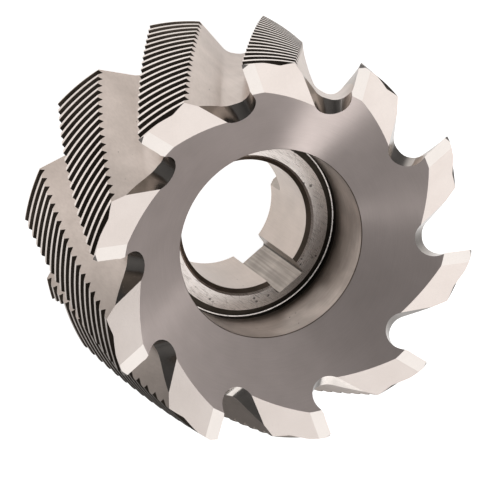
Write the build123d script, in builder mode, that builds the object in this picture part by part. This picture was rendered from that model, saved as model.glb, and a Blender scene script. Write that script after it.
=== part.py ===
from build123d import *
import os
from math import asin, atan2, cos, degrees, hypot, radians, sin, tan

# Shell end mill for roughing, made from one blank of high-speed steel.
# Millimetres. +Z runs along the axis to the cutting end, and Z0 is the back face.
# +Y is the middle of the keyway, and the drive slot runs along X.

# Blank, cut a little long so that the end facets bring it to length
cutter_diameter = 80.0
cutter_length = 45.0
facing_stock = 0.5

# Bore, the seat for the clamping screw's head, and the recess above it
bore_diameter = 27.0
bore_chamfer = 1.2
seat_height = 22.0
recess_diameter = 38.6
undercut_width = 1.55
undercut_depth = 0.8
undercut_reach = 0.3
undercut_height = 1.0

# Keyway along the bore, and drive slot across the back face
keyway_width = 7.0
keyway_depth = 2.8
keyway_corner_radius = 0.8
drive_slot_width = 12.4
drive_slot_depth = 7.0
drive_slot_corner_radius = 1.0

# Teeth and flutes, in a section across the axis
tooth_count = 10
first_tip_angle = -4.7
helix_angle = 26.1
flute_depth = 8.8
flute_root_radius = 4.0
rake_angle = 5.8
land_angle = 15.7
land_drop = 2.0
tooth_back_angle = 22.0
tooth_root_overlap = 4.5

# Chip-breaker grooves across each land
groove_pitch = 2.5
groove_depth = 0.7
groove_flank_angle = 49.0
first_groove_setback = 1.4
groove_overrun_angle = 4.0

# End teeth: a narrow first facet and a wide second one, with a small chamfer at the
# cutting corner, around a dished middle
end_edge_length = 6.3
dish_angle = 31.0
first_facet_width = 2.6
first_facet_angle = 3.0
second_facet_angle = 14.0
facet_span = 16.0
corner_chamfer = 0.8
corner_chamfer_angle = 45.0
corner_relief_angle = 12.0
corner_span = 8.0

# End gash in front of each tooth
gash_depth = 11.55
gash_tilt = 45.0
gash_side_offset = 2.1
gash_root_radius = 3.6
gash_rake_lean = 26.0
gash_back_slope = 36.7
gash_span = 12.0

# How far a cutting tool passes beyond the metal
overrun = 2.0

cutter_radius = cutter_diameter / 2
bore_radius = bore_diameter / 2
keyway_reach = bore_radius + keyway_depth
recess_radius = recess_diameter / 2
undercut_radius = recess_radius + undercut_reach
seat_radius = recess_radius - undercut_width
dish_radius = cutter_radius - end_edge_length
dish_slope = tan(radians(dish_angle))
recess_rim_height = cutter_length - (dish_radius - recess_radius) * dish_slope
flute_floor_radius = cutter_radius - flute_depth
twist_rate = degrees(tan(radians(helix_angle)) / cutter_radius)
stock_length = cutter_length + facing_stock
up = Vector(0, 0, 1)


def tooth_plane(height):
    """Plane across the axis at a height, with its X axis through the first tooth's tip."""
    tip_angle = first_tip_angle - twist_rate * (cutter_length - height)
    return Plane.XY.offset(height).rotated((0, 0, tip_angle))


# The land is an arc of the cutter's own radius about a centre that lies off the axis, so
# it drops away evenly behind the cutting edge as far as the heel.
heel_radius = cutter_radius - land_drop
heel_x = heel_radius * cos(radians(land_angle))
heel_y = -heel_radius * sin(radians(land_angle))
land_chord = hypot(cutter_radius - heel_x, heel_y)
land_chord_angle = degrees(atan2(cutter_radius - heel_x, -heel_y))
land_half_arc = degrees(asin(land_chord / cutter_diameter))
relief_angle = land_chord_angle - land_half_arc
land_centre = Vector(
    cutter_radius * (1 - cos(radians(relief_angle))), cutter_radius * sin(radians(relief_angle))
)

# One tooth in section, with its tip on the X axis and its root inside the flute floor
root_x = flute_floor_radius - tooth_root_overlap
rake_root = (root_x, -(cutter_radius - root_x) * tan(radians(rake_angle)))
back_root = (root_x, heel_y - (heel_x - root_x) * tan(radians(tooth_back_angle)))

with BuildSketch() as tooth_section:
    with BuildLine():
        land = CenterArc(land_centre, cutter_radius, -relief_angle, -2 * land_half_arc)
        Polyline(land @ 1, back_root, rake_root, land @ 0)
    make_face()

with BuildSketch(tooth_plane(0)) as cutter_section:
    Circle(flute_floor_radius)
    with PolarLocations(0, tooth_count):
        add(tooth_section.sketch)
    fillet(cutter_section.vertices().group_by(SortBy.DISTANCE)[0], flute_root_radius)

# Grooves of one land: V rings about the land's own centre, each turned with the helix
groove_slope = tan(radians(groove_flank_angle))
groove_half_width = (groove_depth + overrun) * groove_slope
groove_count = int((cutter_length - first_groove_setback) / groove_pitch) + 1
groove_arc = 2 * (land_half_arc + groove_overrun_angle)

with BuildPart() as land_grooves:
    for groove in range(groove_count):
        section = tooth_plane(cutter_length - first_groove_setback - groove * groove_pitch)
        centre = section.from_local_coords(land_centre)
        spoke = section.rotated((0, 0, groove_overrun_angle - relief_angle)).x_dir
        with BuildSketch(Plane(origin=centre, x_dir=spoke, z_dir=spoke.cross(up))):
            with BuildLine():
                Polyline(
                    (cutter_radius - groove_depth, 0),
                    (cutter_radius + overrun, -groove_half_width),
                    (cutter_radius + overrun, groove_half_width),
                    close=True,
                )
            make_face()
        revolve(axis=Axis(centre, up), revolution_arc=-groove_arc)

# End facets of one tooth: the metal above both, swept inwards along the end cutting edge
front = tooth_plane(cutter_length)
edge_inwards = front.rotated((0, 0, rake_angle)).x_dir * -1
first_facet_drop = first_facet_width * tan(radians(first_facet_angle))
second_facet_run = facet_span - first_facet_width
second_facet_drop = second_facet_run * tan(radians(second_facet_angle))

with BuildPart() as end_facets:
    tip = front.from_local_coords((cutter_radius, 0)) - edge_inwards * overrun
    with BuildSketch(Plane(origin=tip, x_dir=up.cross(edge_inwards), z_dir=edge_inwards)):
        with BuildLine():
            Polyline(
                (-overrun, overrun * tan(radians(first_facet_angle))),
                (first_facet_width, -first_facet_drop),
                (facet_span, -first_facet_drop - second_facet_drop),
                (facet_span, overrun),
                (-overrun, overrun),
                close=True,
            )
        make_face()
    extrude(amount=facet_span + overrun)

# Corner chamfer of one tooth: the metal above a plane that falls away behind the corner
corner = front.from_local_coords((cutter_radius, 0))
corner_rise = radians(corner_chamfer_angle)
corner_outwards = front.x_dir * sin(corner_rise) + up * cos(corner_rise)
corner_plane = Plane(origin=corner, x_dir=corner_outwards, z_dir=front.y_dir * -1)

with BuildPart() as corner_cut:
    with BuildSketch(corner_plane.rotated((0, corner_relief_angle, 0))):
        with Locations((-corner_chamfer * sin(corner_rise), 0)):
            Rectangle(overrun, 2 * overrun, align=(Align.MIN, Align.CENTER))
    extrude(amount=corner_span, both=True)

# End gash of one tooth: a round-bottomed V whose line climbs outwards from the dish
gash_up = cos(radians(gash_tilt))
gash_out = sin(radians(gash_tilt))
gash_reach = cutter_radius - gash_depth
gash_setback = (dish_radius - gash_reach) * dish_slope
gash_root = gash_reach * gash_up - gash_setback * gash_out
gash_start = gash_reach * gash_out + gash_setback * gash_up - gash_span / 2
gash_top = gash_root + gash_span

with BuildPart() as end_gash:
    climb = front.x_dir * gash_out - up * gash_up
    mouth = front.origin + climb * gash_start
    with BuildSketch(Plane(origin=mouth, x_dir=front.y_dir, z_dir=climb)):
        with BuildLine():
            root = CenterArc(
                (gash_side_offset, gash_root + gash_root_radius),
                gash_root_radius,
                180 - gash_rake_lean,
                90 + gash_rake_lean + gash_back_slope,
            )
            rake_rise = gash_top - (root @ 0).Y
            back_rise = gash_top - (root @ 1).Y
            Polyline(
                root @ 1,
                root @ 1 + Vector(back_rise / tan(radians(gash_back_slope)), back_rise),
                root @ 0 + Vector(rake_rise * tan(radians(gash_rake_lean)), rake_rise),
                root @ 0,
            )
        make_face()
    extrude(amount=2 * gash_span)

with BuildPart() as shell_end_mill:
    add(
        Solid.extrude_linear_with_rotation(
            cutter_section.sketch.faces()[0],
            (0, 0, 0),
            (0, 0, stock_length),
            twist_rate * stock_length,
        )
    )

    # Dish, recess, seat with its undercut, and bore
    with BuildSketch(Plane.XZ):
        with BuildLine():
            Polyline(
                (0, -overrun),
                (bore_radius + bore_chamfer, -overrun),
                (bore_radius + bore_chamfer, 0),
                (bore_radius, bore_chamfer),
                (bore_radius, seat_height - bore_chamfer),
                (bore_radius + bore_chamfer, seat_height),
                (seat_radius, seat_height),
                (seat_radius, seat_height - undercut_depth),
                (undercut_radius, seat_height - undercut_depth),
                (undercut_radius, seat_height + undercut_height),
                (recess_radius, seat_height + undercut_height),
                (recess_radius, recess_rim_height),
                (dish_radius + overrun / dish_slope, cutter_length + overrun),
                (0, cutter_length + overrun),
                close=True,
            )
        make_face()
    revolve(axis=Axis.Z, mode=Mode.SUBTRACT)

    # Keyway through the bore and the seat
    with BuildSketch(Plane.XY.offset(-overrun)):
        with Locations((0, keyway_reach / 2)):
            keyway = Rectangle(keyway_width, keyway_reach)
        fillet(keyway.vertices().group_by(Axis.Y)[-1], keyway_corner_radius)
    extrude(amount=seat_height + 2 * overrun, mode=Mode.SUBTRACT)

    # Drive slot right across the back face
    with BuildSketch(Plane.YZ):
        drive_slot = Rectangle(drive_slot_width, 2 * drive_slot_depth)
        fillet(drive_slot.vertices().group_by(Axis.Y)[-1], drive_slot_corner_radius)
    extrude(amount=cutter_radius + overrun, both=True, mode=Mode.SUBTRACT)

    with PolarLocations(0, tooth_count):
        add(end_facets.part, mode=Mode.SUBTRACT)
    with PolarLocations(0, tooth_count):
        add(corner_cut.part, mode=Mode.SUBTRACT)
    with PolarLocations(0, tooth_count):
        add(end_gash.part, mode=Mode.SUBTRACT)
    with PolarLocations(0, tooth_count):
        add(land_grooves.part, mode=Mode.SUBTRACT)

os.makedirs("parts", exist_ok=True)
shell_end_mill.part.label = "shell_end_mill"
export_step(shell_end_mill.part, "parts/shell_end_mill.step")
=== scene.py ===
"""Shell end mill for roughing, dressed in its turned, milled and ground steel surfaces.

Sizes are in millimetres until the finished mesh is brought to metres. +Z runs along the
axis to the cutting end, and Z0 is the back face. +Y is the middle of the keyway.
"""

import logging
import math
from dataclasses import dataclass
from enum import Enum
from itertools import pairwise

import bmesh
import bpy
from bmesh.types import BMEdge, BMesh, BMLayerItem, BMVert
from bpy.types import Material, NodeSocket, Object
from mathutils import Matrix, Vector


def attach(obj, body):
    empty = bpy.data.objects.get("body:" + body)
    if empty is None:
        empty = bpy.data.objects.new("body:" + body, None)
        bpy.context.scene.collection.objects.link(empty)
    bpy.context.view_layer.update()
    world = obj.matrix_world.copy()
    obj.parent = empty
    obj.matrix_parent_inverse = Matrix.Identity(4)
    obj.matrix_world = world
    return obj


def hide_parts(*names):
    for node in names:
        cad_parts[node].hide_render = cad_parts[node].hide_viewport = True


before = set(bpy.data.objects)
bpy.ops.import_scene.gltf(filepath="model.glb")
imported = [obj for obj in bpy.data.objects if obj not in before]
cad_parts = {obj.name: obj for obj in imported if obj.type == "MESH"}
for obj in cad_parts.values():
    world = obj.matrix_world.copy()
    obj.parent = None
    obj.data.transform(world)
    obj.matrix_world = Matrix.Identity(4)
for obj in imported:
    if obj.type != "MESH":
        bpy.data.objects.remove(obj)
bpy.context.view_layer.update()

log = logging.getLogger("shell_end_mill")

Triple = tuple[float, float, float]

UP = Vector((0.0, 0.0, 1.0))

# A millimetre in metres, and how far a cutting shape passes beyond the metal
METRES = 0.001
OVERRUN = 2.0

# Vertices this close are one: in an outline, in the ring of teeth and after the cuts
OUTLINE_MERGE = 1e-5
RING_MERGE = 1e-4
CUT_MERGE = 2e-4

# Slack for telling on which side or in which sector a vertex lies
SIDE_SLACK = 0.01
SECTOR_SLACK = 1e-4

# A fold sharper than this is shaded as an edge
SHARP_FOLD = math.radians(25.0)


class Surface(Enum):
    """Surfaces of the cutter that have a finish of their own. The value is the slot."""

    FLUTE = 0
    RAKE = 1
    LAND = 2
    GROOVE = 3
    FIRST_FACET = 4
    SECOND_FACET = 5
    GASH = 6
    DISH = 7
    RECESS = 8
    # Painted shade: the undercut's faces and the keyway's rounded corners
    PAINTED_SHADE = 9
    SEAT = 10
    CHAMFER = 11
    BORE = 12
    KEYWAY = 13
    BACK = 14


class Lay(Enum):
    """Directions in which a tool can leave its marks."""

    TURNED = "round the axis"
    AXIAL = "along the axis"
    CLOUDY = "no direction"


def put(name: str, data: bpy.types.ID) -> Object:
    """Makes an object of a mesh, a lamp or a camera and puts it in the scene."""
    thing = bpy.data.objects.new(name, data)
    bpy.context.scene.collection.objects.link(thing)
    return thing


class Draft:
    """A mesh in the making, in millimetres."""

    def __init__(self) -> None:
        """Starts an empty mesh."""
        self.bm = bmesh.new()

    def point(self, x: float, y: float, z: float = 0.0) -> BMVert:
        """Adds one vertex."""
        return self.bm.verts.new((x, y, z))

    def line(self, start: BMVert, end: Vector, steps: int = 1) -> BMVert:
        """Draws a straight run of edges.

        Args:
            start: Vertex that the run leaves.
            end: Where it ends.
            steps: Number of edges.

        Returns:
            The vertex at its end.
        """
        stride = (end - start.co) / steps
        vertex = start
        for _ in range(steps):
            vertex = bmesh.ops.extrude_vert_indiv(self.bm, verts=[vertex])["verts"][0]
            bmesh.ops.translate(self.bm, verts=[vertex], vec=stride)
        return vertex

    def arc(self, start: BMVert, centre: Vector, angle: float, steps: int) -> BMVert:
        """Draws an arc of edges in the XY plane.

        Args:
            start: Vertex that the arc leaves.
            centre: Centre of the arc.
            angle: Angle that it turns through, in radians, anticlockwise from above.
            steps: Number of edges.

        Returns:
            The vertex at its end.
        """
        spun = bmesh.ops.spin(
            self.bm, geom=[start], cent=centre, axis=UP, angle=angle, steps=steps
        )
        return next(item for item in spun["geom_last"] if isinstance(item, BMVert))

    def paint(self, surface: Surface) -> None:
        """Gives every face the same surface."""
        for face in self.bm.faces:
            face.material_index = surface.value

    def raise_outline(self, height: float, surface: Surface) -> None:
        """Makes a prism of the closed outline drawn so far.

        Args:
            height: Length of the prism along Z.
            surface: Surface that every face of it is given.
        """
        bmesh.ops.remove_doubles(self.bm, verts=self.bm.verts, dist=OUTLINE_MERGE)
        foot = bmesh.ops.contextual_create(self.bm, geom=self.bm.edges[:])["faces"]
        top = bmesh.ops.extrude_face_region(self.bm, geom=foot, use_keep_orig=True)["geom"]
        risen = [item for item in top if isinstance(item, BMVert)]
        bmesh.ops.translate(self.bm, verts=risen, vec=UP * height)
        self.paint(surface)

    def block(self, size: Triple, middle: Vector, surface: Surface) -> None:
        """Makes a block.

        Args:
            size: Its length along each axis.
            middle: Where its middle lies.
            surface: Surface that every face of it is given.
        """
        bmesh.ops.create_cube(self.bm, size=1.0)
        bmesh.ops.scale(self.bm, vec=size, verts=self.bm.verts)
        bmesh.ops.translate(self.bm, verts=self.bm.verts, vec=middle)
        self.paint(surface)

    def round_corners(self, along: int, side: int, radius: float, steps: int) -> None:
        """Rounds the edges of a block that run along one axis, on the far side of another.

        Args:
            along: Number of the axis that the edges run along.
            side: Number of the axis on whose far side they lie.
            radius: Radius of the rounding.
            steps: Number of faces in it.
        """
        far = max(vertex.co[side] for vertex in self.bm.verts) - SIDE_SLACK
        edges = [
            edge
            for edge in self.bm.edges
            if all(vertex.co[side] > far for vertex in edge.verts)
            and abs(edge.verts[0].co[along] - edge.verts[1].co[along]) > SIDE_SLACK
        ]
        bmesh.ops.bevel(
            self.bm,
            geom=edges,
            offset=radius,
            segments=steps,
            profile=0.5,
            affect="EDGES",
            material=-1,
        )

    def move(self, matrix: Matrix) -> None:
        """Moves or turns the whole mesh."""
        bmesh.ops.transform(self.bm, matrix=matrix, verts=self.bm.verts)

    def place(self, origin: Vector, x_dir: Vector, z_dir: Vector) -> None:
        """Moves the mesh into a plane.

        Args:
            origin: Where the mesh's own origin goes.
            x_dir: Where its X axis points.
            z_dir: Where its Z axis points.
        """
        y_dir = z_dir.cross(x_dir)
        turn = Matrix((x_dir, y_dir, z_dir)).transposed().to_4x4()
        self.move(Matrix.Translation(origin) @ turn)

    def finish(self, name: str, materials: list[Material]) -> Object:
        """Closes the mesh and makes an object of it.

        Args:
            name: Name of the object.
            materials: One material for each surface, in order.

        Returns:
            The object, still in millimetres.
        """
        bmesh.ops.remove_doubles(self.bm, verts=self.bm.verts, dist=OUTLINE_MERGE)
        bmesh.ops.recalc_face_normals(self.bm, faces=self.bm.faces)
        mesh = bpy.data.meshes.new(name)
        self.bm.to_mesh(mesh)
        self.bm.free()
        for material in materials:
            mesh.materials.append(material)
        return put(name, mesh)


@dataclass
class ToothSection:
    """The ring of teeth in a section across the axis, and how it twists along the cutter."""

    tooth_count: int = 10
    radius: float = 40.0
    length: float = 45.0
    facing_stock: float = 0.5
    first_tip_angle: float = -4.7
    helix_angle: float = 26.1
    flute_depth: float = 8.8
    root_radius: float = 4.0
    rake_angle: float = 5.8
    land_angle: float = 15.7
    land_drop: float = 2.0
    back_angle: float = 22.0
    land_steps: int = 9
    flank_steps: int = 3
    back_root_steps: int = 5
    rake_root_steps: int = 10

    def __post_init__(self) -> None:
        """Works out the land's own centre and the lines of the rake and the back."""
        self.twist = math.tan(math.radians(self.helix_angle)) / self.radius
        self.spacing = 2 * math.pi / self.tooth_count
        self.floor_radius = self.radius - self.flute_depth
        heel_radius = self.radius - self.land_drop
        land = math.radians(self.land_angle)
        self.tip = Vector((self.radius, 0.0, 0.0))
        self.heel = Vector((heel_radius * math.cos(land), -heel_radius * math.sin(land), 0.0))
        chord = self.heel - self.tip
        self.half_arc = math.asin(chord.length / (2 * self.radius))
        relief = math.atan2(-chord.x, -chord.y) - self.half_arc
        self.land_centre = self.tip - self.radius * Vector(
            (math.cos(relief), -math.sin(relief), 0.0)
        )
        rake = math.radians(self.rake_angle)
        back = math.radians(self.back_angle)
        self.rake_inwards = Vector((-math.cos(rake), -math.sin(rake), 0.0))
        self.back_inwards = Vector((-math.cos(back), -math.sin(back), 0.0))

    def tip_angle(self, height: float) -> float:
        """Gives the angle of the first tooth's cutting edge at a height, in radians."""
        return math.radians(self.first_tip_angle) - self.twist * (self.length - height)

    def front(self) -> Matrix:
        """Gives the frame at the cutting end whose X axis passes through the first tip."""
        turn = Matrix.Rotation(self.tip_angle(self.length), 4, "Z")
        return Matrix.Translation(UP * self.length) @ turn

    def root_centre(self, start: Vector, inwards: Vector, side: float) -> Vector:
        """Finds the centre of the radius between a flank and the flute's floor.

        Args:
            start: A point of the flank.
            inwards: The flank's direction towards the axis.
            side: 1 where the flute lies on the flank's left, and -1 on its right.

        Returns:
            The centre, which is a root radius away from both.
        """
        left = Vector((-inwards.y, inwards.x, 0.0))
        offset = start + left * side * self.root_radius
        reach = self.floor_radius + self.root_radius
        along = offset.dot(inwards)
        travel = -along - math.sqrt(along**2 - offset.length_squared + reach**2)
        return offset + inwards * travel

    def draw(self, draft: Draft) -> list[BMVert]:
        """Draws the outline of one tooth and the flute behind it.

        Args:
            draft: Mesh that the outline is drawn in.

        Returns:
            Its vertices, from this tooth's tip to just before the next one's.
        """
        next_tip = Matrix.Rotation(-self.spacing, 4, "Z")
        rake_inwards = next_tip @ self.rake_inwards
        back_centre = self.root_centre(self.heel, self.back_inwards, 1.0)
        rake_centre = self.root_centre(next_tip @ self.tip, rake_inwards, -1.0)
        back_foot = self.foot(back_centre, self.heel, self.back_inwards)
        rake_foot = self.foot(rake_centre, next_tip @ self.tip, rake_inwards)
        back_floor = back_centre * self.floor_radius / back_centre.length
        rake_floor = rake_centre * self.floor_radius / rake_centre.length

        vertex = draft.point(self.radius, 0.0)
        vertex = draft.arc(vertex, self.land_centre, -2 * self.half_arc, self.land_steps)
        vertex = draft.line(vertex, back_foot, self.flank_steps)
        turned = (back_floor - back_centre).angle(back_foot - back_centre)
        vertex = draft.arc(vertex, back_centre, turned, self.back_root_steps)
        vertex = draft.arc(vertex, Vector(), -back_floor.angle(rake_floor), 1)
        turned = (rake_floor - rake_centre).angle(rake_foot - rake_centre)
        vertex = draft.arc(vertex, rake_centre, turned, self.rake_root_steps)
        draft.line(vertex, next_tip @ self.tip, self.flank_steps)
        return draft.bm.verts[:-1]

    @staticmethod
    def foot(centre: Vector, start: Vector, inwards: Vector) -> Vector:
        """Gives the point of a flank that lies nearest to a centre."""
        return start + inwards * (centre - start).dot(inwards)


@dataclass
class ChipBreakers:
    """The grooves that break each land into short ridges, a little worn round."""

    pitch: float = 2.5
    depth: float = 0.7
    flank_angle: float = 49.0
    first_setback: float = 1.4
    lip: float = 0.06
    root: float = 0.05

    def centres(self, length: float) -> list[float]:
        """Gives the height of each groove, from the cutting end down."""
        count = int((length - self.first_setback) / self.pitch) + 1
        return [length - self.first_setback - row * self.pitch for row in range(count)]

    def profile(self) -> list[tuple[float, float]]:
        """Works out the section of one groove.

        Returns:
            Pairs of offset along the axis and depth, from one shoulder to the other.
        """
        slope = math.tan(math.radians(self.flank_angle))
        mouth = self.depth * slope
        half = [
            (mouth + self.lip, 0.0),
            (mouth - self.lip, self.lip / slope),
            (self.root, self.depth - self.root / slope),
        ]
        return [(-offset, depth) for offset, depth in half] + half[::-1]

    def rows(self, length: float, stock: float) -> list[tuple[float, float]]:
        """Lists the sections that the sweep passes through.

        Args:
            length: Length of the finished cutter.
            stock: Extra length that the end facets take off.

        Returns:
            Pairs of height and depth of the land at it, from the back face up.
        """
        rows = [(0.0, 0.0), (length + stock, 0.0)]
        for centre in self.centres(length):
            for offset, depth in self.profile():
                if 0.0 < centre + offset:
                    rows.append((centre + offset, depth))
        return sorted(rows)


class ToothedBlank:
    """The swept body with its helical teeth, before the end and the bore are cut."""

    def __init__(self, section: ToothSection, breakers: ChipBreakers) -> None:
        """Takes the ring of teeth and lists the rows that it is swept through.

        Args:
            section: The ring of teeth.
            breakers: The grooves across its lands.
        """
        self.section = section
        self.rows = breakers.rows(section.length, section.facing_stock)
        self.depths = {round(height, 3): depth for height, depth in self.rows}

    def depth(self, vertex: BMVert) -> float:
        """Gives the depth of a land at a vertex's height."""
        return self.depths[round(vertex.co.z, 3)]

    def build(self, materials: list[Material]) -> Object:
        """Sweeps the ring of teeth along the axis.

        Args:
            materials: One material for each surface, in order.

        Returns:
            The blank, closed at both ends.
        """
        section = self.section
        draft = Draft()
        bm = draft.bm
        column = bm.verts.layers.int.new("column")
        tooth = bm.verts.layers.int.new("tooth")
        for number, vertex in enumerate(section.draw(draft)):
            vertex[column] = number
        bmesh.ops.spin(
            bm,
            geom=bm.verts[:] + bm.edges[:],
            axis=UP,
            angle=-section.spacing * (section.tooth_count - 1),
            steps=section.tooth_count - 1,
            use_duplicate=True,
        )
        for vertex in bm.verts:
            behind = -math.atan2(vertex.co.y, vertex.co.x) % (2 * math.pi)
            vertex[tooth] = int(behind / section.spacing + SECTOR_SLACK) % section.tooth_count
        bmesh.ops.remove_doubles(bm, verts=bm.verts, dist=RING_MERGE)
        draft.move(Matrix.Rotation(section.tip_angle(0.0), 4, "Z"))

        ring = bm.edges[:]
        bmesh.ops.edgeloop_fill(bm, edges=ring)
        for (low, _), (high, _) in pairwise(self.rows):
            spun = bmesh.ops.spin(
                bm,
                geom=ring,
                axis=UP,
                dvec=UP * (high - low),
                angle=section.twist * (high - low),
                steps=1,
            )
            ring = [item for item in spun["geom_last"] if isinstance(item, BMEdge)]
        bmesh.ops.edgeloop_fill(bm, edges=ring)
        self.sink_grooves(bm, column, tooth)
        self.name_surfaces(bm, column)
        return draft.finish("shell_end_mill_body", materials)

    def sink_grooves(self, bm: BMesh, column: BMLayerItem, tooth: BMLayerItem) -> None:
        """Moves the lands' vertices inwards in the rows that pass through a groove.

        Args:
            bm: Mesh of the swept body.
            column: Layer that holds the number of each vertex in its sector.
            tooth: Layer that holds the number of its tooth.
        """
        section = self.section
        for vertex in bm.verts:
            depth = self.depth(vertex)
            if depth == 0.0 or vertex[column] > section.land_steps:
                continue
            angle = section.tip_angle(vertex.co.z) - vertex[tooth] * section.spacing
            turn = Matrix.Rotation(angle, 4, "Z")
            height = UP * vertex.co.z
            local = turn.inverted() @ (vertex.co - height)
            if vertex[column] == 0:
                local = self.slide(section.tip, section.rake_inwards, depth)
            elif vertex[column] == section.land_steps:
                local = self.slide(section.heel, section.back_inwards, depth)
            else:
                spoke = local - section.land_centre
                local = section.land_centre + spoke * (1.0 - depth / section.radius)
            vertex.co = turn @ local + height

    def slide(self, corner: Vector, inwards: Vector, depth: float) -> Vector:
        """Moves a corner of the land along its flank as far as a groove's floor.

        Args:
            corner: The tip or the heel, in the tooth's own section.
            inwards: Direction of the flank towards the axis.
            depth: Depth of the groove's floor below the land.

        Returns:
            Where the flank meets that floor.
        """
        spoke = corner - self.section.land_centre
        along = spoke.dot(inwards)
        drop = 2 * self.section.radius * depth - depth**2
        return corner + inwards * (-along - math.sqrt(along**2 - drop))

    def name_surfaces(self, bm: BMesh, column: BMLayerItem) -> None:
        """Gives each face of the swept body its surface.

        Only the two ends have more than four corners.

        Args:
            bm: Mesh of the swept body.
            column: Layer that holds the number of each vertex in its sector.
        """
        section = self.section
        last = max(vertex[column] for vertex in bm.verts)
        for face in bm.faces:
            columns = {vertex[column] for vertex in face.verts}
            if len(face.verts) > 4:
                surface = Surface.BACK
            elif max(columns) <= section.land_steps:
                sunk = max(self.depth(vertex) for vertex in face.verts)
                surface = Surface.GROOVE if sunk > 0.0 else Surface.LAND
            elif 0 in columns or min(columns) > last - section.flank_steps:
                surface = Surface.RAKE
            else:
                surface = Surface.FLUTE
            face.material_index = surface.value


@dataclass
class CuttingEnd:
    """The cuts that make the end teeth: facets, corner chamfers and gashes."""

    section: ToothSection
    edge_length: float = 6.3
    dish_angle: float = 31.0
    first_width: float = 2.6
    first_angle: float = 3.0
    second_angle: float = 14.0
    facet_span: float = 16.0
    chamfer: float = 0.8
    chamfer_angle: float = 45.0
    chamfer_relief: float = 12.0
    chamfer_span: float = 8.0
    gash_depth: float = 11.55
    gash_tilt: float = 45.0
    gash_side: float = 2.1
    gash_radius: float = 3.6
    gash_lean: float = 26.0
    gash_slope: float = 36.7
    gash_span: float = 12.0
    gash_steps: int = 16

    def dish_radius(self) -> float:
        """Gives the radius at which the end teeth's edges meet the dish."""
        return self.section.radius - self.edge_length

    def facets(self) -> Draft:
        """Makes the wedge of metal above one tooth's two end facets.

        Returns:
            The wedge, in place over the first tooth.
        """
        front = self.section.front()
        inwards = front.to_3x3() @ self.section.rake_inwards
        first_slope = math.tan(math.radians(self.first_angle))
        second_slope = math.tan(math.radians(self.second_angle))
        first_drop = self.first_width * first_slope
        second_drop = first_drop + (self.facet_span - self.first_width) * second_slope
        draft = Draft()
        start = draft.point(-OVERRUN, OVERRUN * first_slope)
        vertex = draft.line(start, Vector((self.first_width, -first_drop, 0.0)))
        vertex = draft.line(vertex, Vector((self.facet_span, -second_drop, 0.0)))
        vertex = draft.line(vertex, Vector((self.facet_span, OVERRUN, 0.0)))
        vertex = draft.line(vertex, Vector((-OVERRUN, OVERRUN, 0.0)))
        draft.line(vertex, start.co)
        draft.raise_outline(self.facet_span + OVERRUN, Surface.SECOND_FACET)
        for face in draft.bm.faces:
            if face.calc_center_median().x < self.first_width:
                face.material_index = Surface.FIRST_FACET.value
        corner = front @ self.section.tip
        draft.place(corner - inwards * OVERRUN, UP.cross(inwards), inwards)
        return draft

    def corner(self) -> Draft:
        """Makes the sliver of metal above the chamfer on one cutting corner.

        Returns:
            The sliver, in place over the first tooth.
        """
        front = self.section.front()
        turn = front.to_3x3()
        rise = math.radians(self.chamfer_angle)
        outwards = turn.col[0] * math.sin(rise) + UP * math.cos(rise)
        backwards = -turn.col[1]
        relief = Matrix.Rotation(math.radians(self.chamfer_relief), 3, backwards.cross(outwards))
        size = (OVERRUN, 2 * OVERRUN, 2 * self.chamfer_span)
        middle = Vector((OVERRUN / 2 - self.chamfer * math.sin(rise), 0.0, 0.0))
        draft = Draft()
        draft.block(size, middle, Surface.FIRST_FACET)
        draft.place(front @ self.section.tip, relief @ outwards, relief @ backwards)
        return draft

    def gash(self) -> Draft:
        """Makes the round-bottomed bar of metal that one end gash takes out.

        Returns:
            The bar, in place in front of the first tooth.
        """
        front = self.section.front()
        turn = front.to_3x3()
        rise = math.cos(math.radians(self.gash_tilt))
        out = math.sin(math.radians(self.gash_tilt))
        reach = self.section.radius - self.gash_depth
        setback = (self.dish_radius() - reach) * math.tan(math.radians(self.dish_angle))
        root = reach * rise - setback * out
        start = reach * out + setback * rise - self.gash_span / 2
        top = root + self.gash_span
        lean = math.radians(self.gash_lean)
        slope = math.radians(self.gash_slope)
        centre = Vector((self.gash_side, root + self.gash_radius, 0.0))
        draft = Draft()
        vertex = draft.point(
            centre.x - self.gash_radius * math.cos(lean),
            centre.y + self.gash_radius * math.sin(lean),
        )
        rake_rise = top - vertex.co.y
        rake_top = vertex.co + Vector((rake_rise * math.tan(lean), rake_rise, 0.0))
        rake_foot = vertex.co.copy()
        vertex = draft.arc(vertex, centre, math.pi / 2 + lean + slope, self.gash_steps)
        back_rise = top - vertex.co.y
        back_top = vertex.co + Vector((back_rise / math.tan(slope), back_rise, 0.0))
        vertex = draft.line(vertex, back_top)
        vertex = draft.line(vertex, rake_top)
        draft.line(vertex, rake_foot)
        draft.raise_outline(2 * self.gash_span, Surface.GASH)
        climb = turn.col[0] * out - UP * rise
        draft.place(front.translation + climb * start, turn.col[1].copy(), climb)
        return draft


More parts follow.
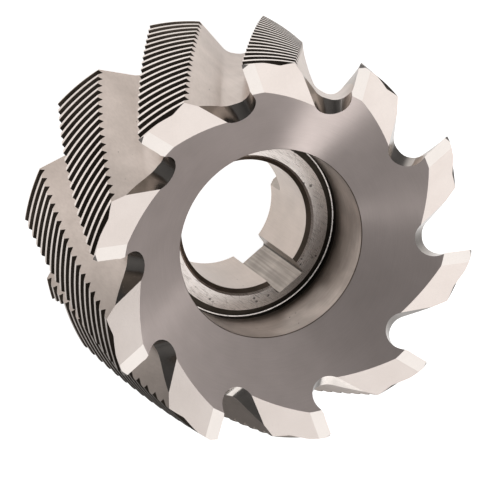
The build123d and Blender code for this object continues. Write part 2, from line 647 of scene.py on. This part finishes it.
@dataclass
class ClampingSeat:
    """The bore, its chamfers, the screw seat, the recess above it and the dish.

    The glint is a slightly raised strip in the undercut's floor, painted as a highlight
    line with the seat's bright finish amid the undercut's painted shade, and the
    chamfer's light edge is the part of it that is as bright as the seat, also a painted
    highlight.
    """

    end: CuttingEnd
    bore_radius: float = 13.5
    bore_chamfer: float = 1.2
    seat_height: float = 22.0
    recess_radius: float = 19.3
    undercut_width: float = 1.55
    undercut_depth: float = 0.8
    undercut_reach: float = 0.3
    undercut_height: float = 1.0
    # The glint strip, raised a little, is painted as a highlight with the seat's bright finish
    glint_width: float = 0.22
    glint_rise: float = 0.06
    # The rim's edge break, painted dark with the chamfer's finish
    edge_break: float = 0.12
    # Width of the chamfer's outer part that is painted as a highlight with the seat's finish
    chamfer_light: float = 0.4
    turn_steps: int = 160
    keyway_width: float = 7.0
    keyway_depth: float = 2.8
    keyway_corner: float = 0.8
    # Lean of the faces of the keyway's corners that are painted dark as shade, in degrees
    keyway_shade_from: float = 30.0
    keyway_shade_to: float = 60.0
    slot_width: float = 12.4
    slot_depth: float = 7.0
    slot_corner: float = 1.0
    corner_steps: int = 6

    def turned(self) -> Draft:
        """Makes the turned core that the bore, the seat, the recess and the dish take out.

        Returns:
            The core.
        """
        bore = self.bore_radius
        mouth = bore + self.bore_chamfer
        light = mouth - self.chamfer_light
        seat = self.recess_radius - self.undercut_width
        sunk = self.seat_height - self.undercut_depth
        under = self.recess_radius + self.undercut_reach
        ledge = self.seat_height + self.undercut_height
        recess = self.recess_radius
        glint = recess - self.glint_width
        shelf = sunk + self.glint_rise
        slope = math.tan(math.radians(self.end.dish_angle))
        dish_radius = self.end.dish_radius()
        rim = self.end.section.length - (dish_radius - recess) * slope
        broken = self.edge_break
        wide = dish_radius + OVERRUN / slope
        top = self.end.section.length + OVERRUN
        corners = [
            (Surface.BACK, (0.0, -OVERRUN)),
            (Surface.BACK, (mouth, -OVERRUN)),
            (Surface.BACK, (mouth, 0.0)),
            # The chamfers take a dark finish, as painted dark reflection
            (Surface.CHAMFER, (bore, self.bore_chamfer)),
            (Surface.BORE, (bore, self.seat_height - self.bore_chamfer)),
            (Surface.CHAMFER, (light, self.seat_height - self.chamfer_light)),
            # The chamfer's outer part takes the seat's bright finish, a painted highlight line
            (Surface.SEAT, (mouth, self.seat_height)),
            (Surface.SEAT, (seat, self.seat_height)),
            # The undercut's faces are painted near-black as shade, but for one strip of its floor
            (Surface.PAINTED_SHADE, (seat, sunk)),
            (Surface.PAINTED_SHADE, (glint, sunk)),
            # A slightly raised strip of the undercut's floor takes the seat's bright finish, a
            # painted highlight line
            (Surface.SEAT, (recess, shelf)),
            (Surface.PAINTED_SHADE, (under, shelf)),
            (Surface.PAINTED_SHADE, (under, ledge)),
            (Surface.PAINTED_SHADE, (recess, ledge)),
            (Surface.RECESS, (recess, rim - broken)),
            # The rim's edge break takes the chamfer's dark finish, a thin line of painted dark
            # reflection
            (Surface.CHAMFER, (recess + broken, rim + broken * slope)),
            (Surface.DISH, (wide, top)),
            (Surface.DISH, (0.0, top)),
        ]
        draft = Draft()
        for (_, (inner, low)), (surface, (outer, high)) in pairwise(corners):
            start = draft.point(inner, 0.0, low)
            end_point = draft.line(start, Vector((outer, 0.0, high)))
            before = set(draft.bm.faces)
            bmesh.ops.spin(
                draft.bm,
                geom=[start, end_point, *end_point.link_edges],
                axis=UP,
                angle=2 * math.pi,
                steps=self.turn_steps,
                use_merge=True,
            )
            for face in set(draft.bm.faces) - before:
                face.material_index = surface.value
        return draft

    def keyway(self) -> Draft:
        """Makes the bar that the broached keyway takes out of the bore and the seat.

        Returns:
            The bar, whose rounded corners are painted dark as shade.
        """
        reach = self.bore_radius + self.keyway_depth
        height = self.seat_height + 2 * OVERRUN
        middle = Vector((0.0, reach / 2, height / 2 - OVERRUN))
        draft = Draft()
        draft.block((self.keyway_width, reach, height), middle, Surface.KEYWAY)
        draft.round_corners(2, 1, self.keyway_corner, self.corner_steps)
        bmesh.ops.recalc_face_normals(draft.bm, faces=draft.bm.faces)
        # Painted shade: the middle faces of each rounded corner take the near-black finish
        for face in draft.bm.faces:
            lean = math.degrees(math.atan2(abs(face.normal.x), face.normal.y))
            if self.keyway_shade_from < lean < self.keyway_shade_to:
                face.material_index = Surface.PAINTED_SHADE.value
        return draft

    def drive_slot(self) -> Draft:
        """Makes the bar that the drive slot takes out of the back face.

        Returns:
            The bar, along X.
        """
        span = 2 * (self.end.section.radius + OVERRUN)
        size = (span, self.slot_width, 2 * self.slot_depth)
        draft = Draft()
        draft.block(size, Vector(), Surface.BACK)
        draft.round_corners(0, 2, self.slot_corner, self.corner_steps)
        return draft


class ShellEndMill:
    """The whole cutter: the toothed blank with its end and its bore cut."""

    def __init__(self) -> None:
        """Sets up the cutter's parts from their sizes."""
        self.section = ToothSection()
        self.breakers = ChipBreakers()
        self.end = CuttingEnd(self.section)
        self.seat = ClampingSeat(self.end)

    def build(self, materials: list[Material]) -> Object:
        """Builds the cutter and puts it in the place of its plain solid.

        Args:
            materials: One material for each surface, in order.

        Returns:
            The finished piece, in metres.
        """
        blank = ToothedBlank(self.section, self.breakers).build(materials)
        log.info("toothed blank: %d faces", len(blank.data.polygons))
        cutters = [
            self.seat.turned().finish("turned_core", materials),
            self.seat.keyway().finish("keyway_bar", materials),
            self.seat.drive_slot().finish("drive_slot_bar", materials),
        ]
        for make in (self.end.facets, self.end.corner, self.end.gash):
            for number in range(self.section.tooth_count):
                draft = make()
                draft.move(Matrix.Rotation(number * self.section.spacing, 4, "Z"))
                cutters.append(draft.finish(f"{make.__name__}_{number}", materials))
        piece = self.cut(blank, cutters)
        self.settle(piece)
        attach(piece, "root")
        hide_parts("shell_end_mill")
        return piece

    @staticmethod
    def cut(blank: Object, cutters: list[Object]) -> Object:
        """Takes each cutter's shape out of the blank, in order.

        Args:
            blank: The toothed blank.
            cutters: Closed shapes to take out of it.

        Returns:
            The blank, with a mesh that has the cuts in it and no modifier left.
        """
        for cutter in cutters:
            step = blank.modifiers.new(cutter.name, "BOOLEAN")
            step.operation = "DIFFERENCE"
            step.solver = "MANIFOLD"
            step.object = cutter
        graph = bpy.context.evaluated_depsgraph_get()
        mesh = bpy.data.meshes.new_from_object(blank.evaluated_get(graph))
        blank.modifiers.clear()
        blank.data = mesh
        for cutter in cutters:
            bpy.data.objects.remove(cutter)
        return blank

    @staticmethod
    def settle(piece: Object) -> None:
        """Cleans the mesh, marks its sharp edges and brings it to metres.

        Args:
            piece: The cutter, in millimetres.
        """
        bm = bmesh.new()
        bm.from_mesh(piece.data)
        bmesh.ops.remove_doubles(bm, verts=bm.verts, dist=CUT_MERGE)
        bmesh.ops.dissolve_degenerate(bm, edges=bm.edges, dist=CUT_MERGE)
        bmesh.ops.recalc_face_normals(bm, faces=bm.faces)
        for face in bm.faces:
            face.smooth = True
        for edge in bm.edges:
            slots = {face.material_index for face in edge.link_faces}
            edge.smooth = len(slots) == 1 and edge.calc_face_angle(0.0) < SHARP_FOLD
        bmesh.ops.scale(bm, vec=(METRES, METRES, METRES), verts=bm.verts)
        bm.to_mesh(piece.data)
        bm.free()


class NodeBench:
    """Lays out the nodes of a material or a world. Lengths on the cutter are millimetres."""

    # How marks are drawn out along the axis, and how far apart they repeat round it
    AXIAL_STRETCH = (1.0, 1.0, 0.03)
    TURNED_STRETCH = 0.6

    # Pits: their uneven outlines, the patches they gather in, how few cells hold one, and
    # how soft their edges are
    UNEVEN_SCALE = 3.0
    UNEVEN_REACH = (0.35, 0.35, 0.35)
    PATCH_SCALE = 0.22
    PATCH_LIMITS = (0.42, 0.58)
    PIT_LIMITS = (0.35, 1.0)
    PIT_EDGE = 0.3

    # Scratches: turn about the axis, stretch, and the noise above which one shows
    SCRATCHES = ((-0.25, (9.0, 0.4, 1.0), 0.70), (0.5, (6.0, 0.3, 1.0), 0.78))
    SCRATCH_GAIN = 0.1
    SCRATCH_EDGE = 0.12

    # Depth of pits against that of the marks, the marks' height, and the rise of the sheen
    SUNK_DEPTH = 2.0
    MARK_HEIGHT = 0.02
    SHEEN_RISE = (0.0, 0.0, 2.0)

    def __init__(self, owner: Material | bpy.types.World) -> None:
        """Clears the nodes of a material or a world, to lay out new ones."""
        owner.use_nodes = True
        self.tree = owner.node_tree
        self.tree.nodes.clear()

    def feed(self, socket: NodeSocket, value: object) -> None:
        """Links a socket to another one, or sets it to a value.

        Args:
            socket: Input of a node.
            value: Output of another node, or the value.
        """
        if isinstance(value, NodeSocket):
            self.tree.links.new(value, socket)
        else:
            socket.default_value = value

    def add(
        self, kind: str, *sources: object, operation: str = "", **values: object
    ) -> bpy.types.bpy_prop_collection:
        """Adds a node and feeds its inputs.

        Args:
            kind: Blender's name for the node, without ShaderNode.
            sources: Values or sockets for its first inputs.
            operation: What a math node works out.
            values: Values or sockets for its inputs, by name with _ for spaces.

        Returns:
            The node's outputs.
        """
        node = self.tree.nodes.new(f"ShaderNode{kind}")
        if operation:
            node.operation = operation
        for number, value in enumerate(sources):
            self.feed(node.inputs[number], value)
        for name, value in values.items():
            self.feed(node.inputs[name.replace("_", " ")], value)
        return node.outputs

    def math(self, operation: str, *sources: object) -> NodeSocket:
        """Works out one number from one or two others."""
        return self.add("Math", *sources, operation=operation)[0]

    def vector(self, operation: str, *sources: object) -> NodeSocket:
        """Works out one vector from one or two others."""
        return self.add("VectorMath", *sources, operation=operation)[0]

    def measure(self, operation: str, *sources: object) -> NodeSocket:
        """Works out one number from one or two vectors."""
        return self.add("VectorMath", *sources, operation=operation)["Value"]

    def place(self) -> NodeSocket:
        """Gives the place on the piece, in millimetres."""
        coordinates = self.add("TexCoord")["Object"]
        return self.vector("MULTIPLY", coordinates, (1.0 / METRES,) * 3)

    def flow(self, place: NodeSocket, lay: Lay) -> NodeSocket:
        """Gives coordinates that are stretched along the tool's marks.

        Args:
            place: Place on the piece.
            lay: Direction of the marks.

        Returns:
            Coordinates for a noise that draws them.
        """
        if lay is Lay.CLOUDY:
            return place
        if lay is Lay.AXIAL:
            return self.vector("MULTIPLY", place, self.AXIAL_STRETCH)
        x, y, z = self.add("SeparateXYZ", place)
        square = self.math("ADD", self.math("POWER", x, 2.0), self.math("POWER", y, 2.0))
        angle = self.math("MULTIPLY", self.math("ARCTAN2", y, x), self.TURNED_STRETCH)
        return self.add("CombineXYZ", self.math("SQRT", square), angle, z)[0]

    def noise(self, place: NodeSocket, scale: float, detail: float) -> NodeSocket:
        """Gives a soft noise from 0 to 1."""
        return self.add("TexNoise", Vector=place, Scale=scale, Detail=detail)[0]

    def ramp(self, value: NodeSocket, low: float, high: float) -> NodeSocket:
        """Stretches the part of a value between two limits over 0 to 1."""
        return self.add("MapRange", value, low, high, 0.0, 1.0)[0]

    def spread(self, value: NodeSocket, low: float, high: float) -> NodeSocket:
        """Turns a value from 0 to 1 into one between two limits."""
        return self.add("MapRange", value, 0.0, 1.0, low, high)[0]

    def blend(self, share: object, first: object, second: object) -> NodeSocket:
        """Mixes two colours.

        Args:
            share: How much of the second one is taken, from 0 to 1.
            first: Colour or socket.
            second: Colour or socket.

        Returns:
            The mixed colour.
        """
        node = self.tree.nodes.new("ShaderNodeMix")
        node.data_type = "RGBA"
        for number, value in ((0, share), (6, first), (7, second)):
            self.feed(node.inputs[number], (*value, 1.0) if isinstance(value, tuple) else value)
        return node.outputs[2]

    def pits(self, place: NodeSocket, size: float, share: float) -> NodeSocket:
        """Scatters small pits of uneven outline, which gather in patches.

        Args:
            place: Place on the piece.
            size: Spacing of the cells that may hold a pit.
            share: Radius of the largest pit, as a share of a cell.

        Returns:
            1 in a pit and 0 outside.
        """
        uneven = self.add("TexNoise", Vector=place, Scale=self.UNEVEN_SCALE, Detail=2.0)["Color"]
        moved = self.vector("ADD", place, self.vector("MULTIPLY", uneven, self.UNEVEN_REACH))
        cells = self.add("TexVoronoi", Vector=moved, Scale=1.0 / size)
        chance = self.add("SeparateXYZ", cells["Color"])[0]
        crowd = self.ramp(self.noise(place, self.PATCH_SCALE, detail=1.0), *self.PATCH_LIMITS)
        reach = self.math("MULTIPLY", self.ramp(chance, *self.PIT_LIMITS), share)
        reach = self.math("MULTIPLY", reach, crowd)
        inside = self.math("SUBTRACT", reach, cells["Distance"])
        return self.ramp(inside, 0.0, share * self.PIT_EDGE)

    def scratches(self, place: NodeSocket, gain: float) -> NodeSocket:
        """Draws short fine scratches in two directions.

        Args:
            place: Place on the piece.
            gain: How freely they show, where 0 is sparsely.

        Returns:
            1 in a scratch and 0 outside.
        """
        found = 0.0
        for turn, stretch, least in self.SCRATCHES:
            node = self.tree.nodes.new("ShaderNodeVectorRotate")
            node.rotation_type = "Z_AXIS"
            self.feed(node.inputs["Vector"], place)
            self.feed(node.inputs["Angle"], turn)
            flow = self.vector("MULTIPLY", node.outputs[0], stretch)
            start = least - self.SCRATCH_GAIN * gain
            lines = self.ramp(self.noise(flow, 1.0, detail=1.0), start, start + self.SCRATCH_EDGE)
            found = self.math("MAXIMUM", found, lines)
        return found

    def sink(self, height: NodeSocket, pits: NodeSocket) -> NodeSocket:
        """Lowers a height where there are pits."""
        return self.math("SUBTRACT", height, self.math("MULTIPLY", pits, self.SUNK_DEPTH))

    def bump(self, height: NodeSocket, strength: float) -> NodeSocket:
        """Turns a height into a shading normal."""
        distance = self.MARK_HEIGHT * METRES
        return self.add("Bump", Height=height, Strength=strength, Distance=distance)[0]

    def sheen(self, place: NodeSocket) -> NodeSocket:
        """Gives the direction across turned marks, in which the light is spread.

        Args:
            place: Place on the piece.

        Returns:
            A direction, which the shader lays on the surface.
        """
        around = self.vector("CROSS_PRODUCT", tuple(UP), place)
        outwards = self.vector("NORMALIZE", self.vector("CROSS_PRODUCT", around, tuple(UP)))
        return self.vector("ADD", outwards, self.SHEEN_RISE)


@dataclass(frozen=True)
class SteelFinish:
    """How one surface of the steel was made, and how it looks.

    The tones are shares of the shade's colour, and sizes and pitches are millimetres.
    """

    name: str
    colour: Triple
    shade: Triple
    roughness: float
    roughness_spread: float = 0.15
    cloud_scale: float = 0.16
    cloud_limits: tuple[float, float] = (0.35, 0.65)
    lay: Lay = Lay.CLOUDY
    anisotropy: float = 0.0
    mark_strength: float = 0.1
    mark_pitch: float = 0.15
    mark_limits: tuple[float, float] = (0.40, 0.62)
    mark_share: float = 0.15
    mark_tone: float = 0.35
    pit_size: float = 1.2
    pit_share: float = 0.0
    pit_tone: float = 0.2
    scratch_gain: float = 0.0
    scratch_tone: float = 0.5

    def toned(self, tone: float) -> tuple[float, ...]:
        """Gives the shade's colour, darkened or lightened."""
        return tuple(channel * tone for channel in self.shade)

    def material(self) -> Material:
        """Builds the finish as a material.

        Returns:
            The material, with its pattern in the piece's own coordinates.
        """
        material = bpy.data.materials.new(self.name)
        bench = NodeBench(material)
        place = bench.place()
        marks = bench.noise(bench.flow(place, self.lay), 1.0 / self.mark_pitch, detail=3.0)
        cloud = bench.noise(place, self.cloud_scale, detail=4.0)
        colour = bench.blend(bench.ramp(cloud, *self.cloud_limits), self.shade, self.colour)
        streaks = bench.math("MULTIPLY", bench.ramp(marks, *self.mark_limits), self.mark_share)
        colour = bench.blend(streaks, colour, self.toned(self.mark_tone))
        height = marks
        if self.scratch_gain > 0.0:
            lines = bench.scratches(place, self.scratch_gain)
            colour = bench.blend(lines, colour, self.toned(self.scratch_tone))
            height = bench.sink(height, lines)
        if self.pit_share > 0.0:
            pits = bench.pits(place, self.pit_size, self.pit_share)
            colour = bench.blend(pits, colour, self.toned(self.pit_tone))
            height = bench.sink(height, pits)
        smoothest = self.roughness * (1.0 - self.roughness_spread)
        roughest = self.roughness * (1.0 + self.roughness_spread)
        inputs = {
            "Base_Color": colour,
            "Metallic": 1.0,
            "Roughness": bench.spread(marks, smoothest, roughest),
            "Anisotropic": self.anisotropy,
            "Normal": bench.bump(height, self.mark_strength),
        }
        if self.anisotropy > 0.0:
            inputs["Tangent"] = bench.sheen(place)
        steel = bench.add("BsdfPrincipled", **inputs)[0]
        bench.add("OutputMaterial", Surface=steel)
        return material


FINISHES: dict[Surface, SteelFinish] = {
    Surface.FLUTE: SteelFinish(
        "milled_flute", (0.67, 0.575, 0.515), (0.59, 0.505, 0.45), 0.36,
        lay=Lay.AXIAL, mark_pitch=0.4, mark_share=0.06, pit_size=1.5, pit_share=0.14,
    ),
    # Darker than the flutes, as painted dark reflection
    Surface.RAKE: SteelFinish(
        "ground_rake_face_painted_dark_reflection", (0.46, 0.40, 0.35), (0.36, 0.31, 0.27), 0.30,
        lay=Lay.AXIAL, mark_pitch=0.4, pit_size=1.5, pit_share=0.12,
    ),
    Surface.LAND: SteelFinish("ground_land", (0.90, 0.81, 0.75), (0.80, 0.71, 0.65), 0.26),
    # Near-black, as painted dark reflection on the grooves' flanks
    Surface.GROOVE: SteelFinish(
        "chip_breaker_groove_painted_dark_reflection", (0.12, 0.095, 0.075), (0.07, 0.055, 0.042), 0.34
    ),
    Surface.FIRST_FACET: SteelFinish(
        "first_end_facet", (0.95, 0.88, 0.83), (0.92, 0.85, 0.80), 0.22, mark_share=0.05
    ),
    Surface.SECOND_FACET: SteelFinish(
        "second_end_facet", (0.92, 0.825, 0.77), (0.88, 0.785, 0.73), 0.26,
        mark_share=0.05, pit_size=2.6, pit_share=0.06,
    ),
    # Darker than the flutes, as painted dark reflection; its pits are lighter specks
    Surface.GASH: SteelFinish(
        "end_gash_painted_dark_reflection", (0.50, 0.455, 0.42), (0.36, 0.33, 0.305), 0.17,
        pit_size=0.7, pit_share=0.2, pit_tone=2.2,
    ),
    Surface.DISH: SteelFinish(
        "turned_dish", (0.56, 0.485, 0.46), (0.52, 0.45, 0.425), 0.38,
        lay=Lay.TURNED, anisotropy=0.85, mark_strength=0.08, mark_pitch=0.12, mark_share=0.06,
    ),
    Surface.RECESS: SteelFinish(
        "turned_recess_wall", (0.54, 0.465, 0.415), (0.37, 0.315, 0.28), 0.32,
        lay=Lay.TURNED, anisotropy=0.3, mark_strength=0.2, mark_pitch=0.2,
        pit_size=1.4, pit_share=0.18,
    ),
    # Near-black, as painted shade in the undercut and in the keyway's rounded corners
    Surface.PAINTED_SHADE: SteelFinish("undercut", (0.10, 0.085, 0.07), (0.06, 0.05, 0.04), 0.4),
    # Also given to the glint strip and the chamfer's light edge as painted highlights
    Surface.SEAT: SteelFinish(
        "screw_seat", (0.95, 0.87, 0.82), (0.84, 0.76, 0.71), 0.28,
        lay=Lay.TURNED, anisotropy=0.3, mark_strength=0.15,
        pit_size=0.9, pit_share=0.4, pit_tone=0.3, scratch_gain=1.2,
    ),
    # Dark, as painted dark reflection, on the bore's chamfers and the rim's edge break
    Surface.CHAMFER: SteelFinish("bore_chamfer", (0.30, 0.25, 0.21), (0.20, 0.17, 0.14), 0.35),
    Surface.BORE: SteelFinish(
        "bore_wall", (0.64, 0.55, 0.49), (0.57, 0.49, 0.435), 0.34,
        lay=Lay.AXIAL, mark_share=0.06, pit_size=2.0, pit_share=0.1,
    ),
    Surface.KEYWAY: SteelFinish(
        "broached_keyway", (0.52, 0.455, 0.40), (0.37, 0.32, 0.28), 0.34,
        lay=Lay.AXIAL, mark_strength=0.3, mark_pitch=0.6, mark_share=0.4,
        pit_size=1.1, pit_share=0.28,
    ),
    Surface.BACK: SteelFinish(
        "ground_back_face", (0.50, 0.44, 0.39), (0.40, 0.35, 0.31), 0.34,
        mark_strength=0.08, mark_pitch=0.3, pit_size=1.6, pit_share=0.12,
    ),
}


@dataclass(frozen=True)
class Softbox:
    """A square softbox that faces the cutter.

    The azimuth counts from +X and the elevation from the floor, in degrees. The distance
    and the side are metres, and a level of 1 looks white. One that doesn't light matt
    surfaces lights the steel alone.
    """

    name: str
    azimuth: float
    elevation: float
    distance: float
    side: float
    level: float
    lights_matt: bool = True
    aim_height: float = 0.03

    def hang(self) -> None:
        """Makes the lamp and hangs it in its place."""
        data = bpy.data.lights.new(self.name, "AREA")
        data.shape = "SQUARE"
        data.size = self.side
        data.energy = self.level * math.pi * self.side**2
        lamp = put(self.name, data)
        turn = math.radians(self.azimuth)
        rise = math.radians(self.elevation)
        aim = Vector(
            (math.cos(rise) * math.cos(turn), math.cos(rise) * math.sin(turn), math.sin(rise))
        )
        place = Matrix.Translation(aim * self.distance + UP * self.aim_height)
        lamp.matrix_world = place @ aim.to_track_quat("Z", "Y").to_matrix().to_4x4()
        lamp.visible_camera = False
        lamp.visible_diffuse = self.lights_matt


SOFTBOXES = (
    Softbox("overhead_softbox", 118.0, 60.0, 0.9, 1.3, 0.68),
    Softbox("low_softbox", 66.0, -10.0, 0.12, 0.08, 1.9, lights_matt=False),
    Softbox("dish_softbox", 61.0, 19.0, 0.9, 0.26, 3.7),
    Softbox("side_softbox", 5.0, 43.0, 0.9, 0.2, 1.0),
    Softbox("rear_softbox", 143.0, 16.0, 0.9, 0.12, 2.0),
)


@dataclass
class Studio:
    """The pale floor, the soft lamps and the camera, in metres.

    Round the cutter the floor has a painted pool of light, which is bright on one side only:
    there the paper is paler and glows for the steel.
    """

    lens: float = 240.96
    sensor: float = 36.0
    nearest: float = 0.01
    farthest: float = 50.0
    camera_place: Triple = (0.072720, -0.272553, 0.606902)
    camera_right: Triple = (-0.74974, 0.56024, 0.35216)
    camera_down: Triple = (0.65291, 0.71289, 0.25591)
    floor_size: float = 6.0
    floor_white: float = 0.94
    # The painted pool of light on the floor: its glow for the steel, its size, shift and side,
    # and the paper in it and outside it
    painted_pool_glow: float = 0.75
    pool_core: float = 0.06
    pool_edge: float = 0.18
    pool_shift: float = 0.02
    pool_limits: tuple[float, float] = (-1.0, 0.3)
    bright_side: Triple = (-0.82, -0.57, 0.0)
    near_paper: Triple = (0.9, 0.9, 0.9)
    far_paper: Triple = (0.3, 0.3, 0.3)
    room_level: float = 0.26
    window_level: float = 0.12
    window_side: Triple = (-0.24, 0.97, 0.0)
    horizon_share: float = 0.5
    horizon_height: float = 0.4

    def build(self) -> None:
        """Sets up everything that isn't the cutter."""
        bpy.context.scene.view_settings.view_transform = "Standard"
        self.add_camera()
        self.add_floor()
        self.light_world()
        for softbox in SOFTBOXES:
            softbox.hang()

    def add_camera(self) -> None:
        """Puts the camera where the photograph was taken from."""
        data = bpy.data.cameras.new("camera")
        data.sensor_width = self.sensor
        data.lens = self.lens
        data.clip_start = self.nearest
        data.clip_end = self.farthest
        camera = put("camera", data)
        right = Vector(self.camera_right).normalized()
        up = -Vector(self.camera_down).normalized()
        matrix = Matrix((right, up, right.cross(up))).transposed().to_4x4()
        camera.matrix_world = Matrix.Translation(self.camera_place) @ matrix
        bpy.context.scene.camera = camera

    def add_floor(self) -> None:
        """Lays a large pale floor that the camera sees as white, with the shadow on it."""
        bm = bmesh.new()
        bmesh.ops.create_grid(bm, x_segments=1, y_segments=1, size=self.floor_size / 2)
        mesh = bpy.data.meshes.new("floor")
        bm.to_mesh(mesh)
        bm.free()
        floor = put("floor", mesh)
        mesh.materials.append(self.floor_material())

    def floor_material(self) -> Material:
        """Builds the floor's paper, which glows for the camera, and for the steel in a painted
        pool of light round the cutter.

        Returns:
            The material.
        """
        material = bpy.data.materials.new("pale_floor")
        bench = NodeBench(material)
        rays = bench.add("LightPath")
        seen = bench.math("MAXIMUM", rays["Is Camera Ray"], rays["Is Glossy Ray"])
        seen = bench.math("MAXIMUM", seen, rays["Is Transmission Ray"])
        place = bench.add("TexCoord")["Object"]
        # Painted pool of light: near the cutter and towards the bright side, the paper is paler
        # and glows for the steel
        painted_pool = bench.ramp(bench.measure("LENGTH", place), self.pool_edge, self.pool_core)
        shift = tuple(Vector(self.bright_side) * self.pool_shift)
        outwards = bench.vector("NORMALIZE", bench.vector("ADD", place, shift))
        facing = bench.measure("DOT_PRODUCT", outwards, self.bright_side)
        painted_pool = bench.math("MULTIPLY", painted_pool, bench.ramp(facing, *self.pool_limits))
        paper = bench.blend(painted_pool, self.far_paper, self.near_paper)
        matt = bench.add("BsdfDiffuse", Color=paper)[0]
        painted_glow = bench.blend(painted_pool, (0.0, 0.0, 0.0), (self.painted_pool_glow,) * 3)
        level = bench.blend(rays["Is Camera Ray"], painted_glow, (self.floor_white,) * 3)
        level = bench.math("MULTIPLY", seen, level)
        glow = bench.add("Emission", Color=(1.0, 1.0, 1.0, 1.0), Strength=level)[0]
        both = bench.add("AddShader", matt, glow)[0]
        bench.add("OutputMaterial", Surface=both)
        return material

    def light_world(self) -> None:
        """Gives the room a soft light that is a little brighter high up and on one side."""
        world = bpy.data.worlds.new("room")
        bpy.context.scene.world = world
        bench = NodeBench(world)
        direction = bench.add("TexCoord")["Generated"]
        towards = bench.measure("DOT_PRODUCT", direction, self.window_side)
        side = bench.math("MULTIPLY", towards, self.window_level)
        height = bench.add("SeparateXYZ", direction)[2]
        rise = bench.spread(bench.ramp(height, 0.0, self.horizon_height), self.horizon_share, 1.0)
        level = bench.math("MULTIPLY", rise, bench.math("ADD", side, self.room_level))
        light = bench.add("Background", Color=(1.0, 1.0, 1.0, 1.0), Strength=level)[0]
        bench.add("OutputWorld", Surface=light)


def main() -> None:
    """Builds the cutter and the studio, and reports each piece."""
    logging.basicConfig(level=logging.INFO, format="%(name)s: %(message)s")
    materials = [FINISHES[surface].material() for surface in Surface]
    cutter = ShellEndMill().build(materials)
    log.info("%s: %d faces", cutter.name, len(cutter.data.polygons))
    Studio().build()
    log.info("studio: floor, lamps and camera")


if __name__ == "__main__":
    main()
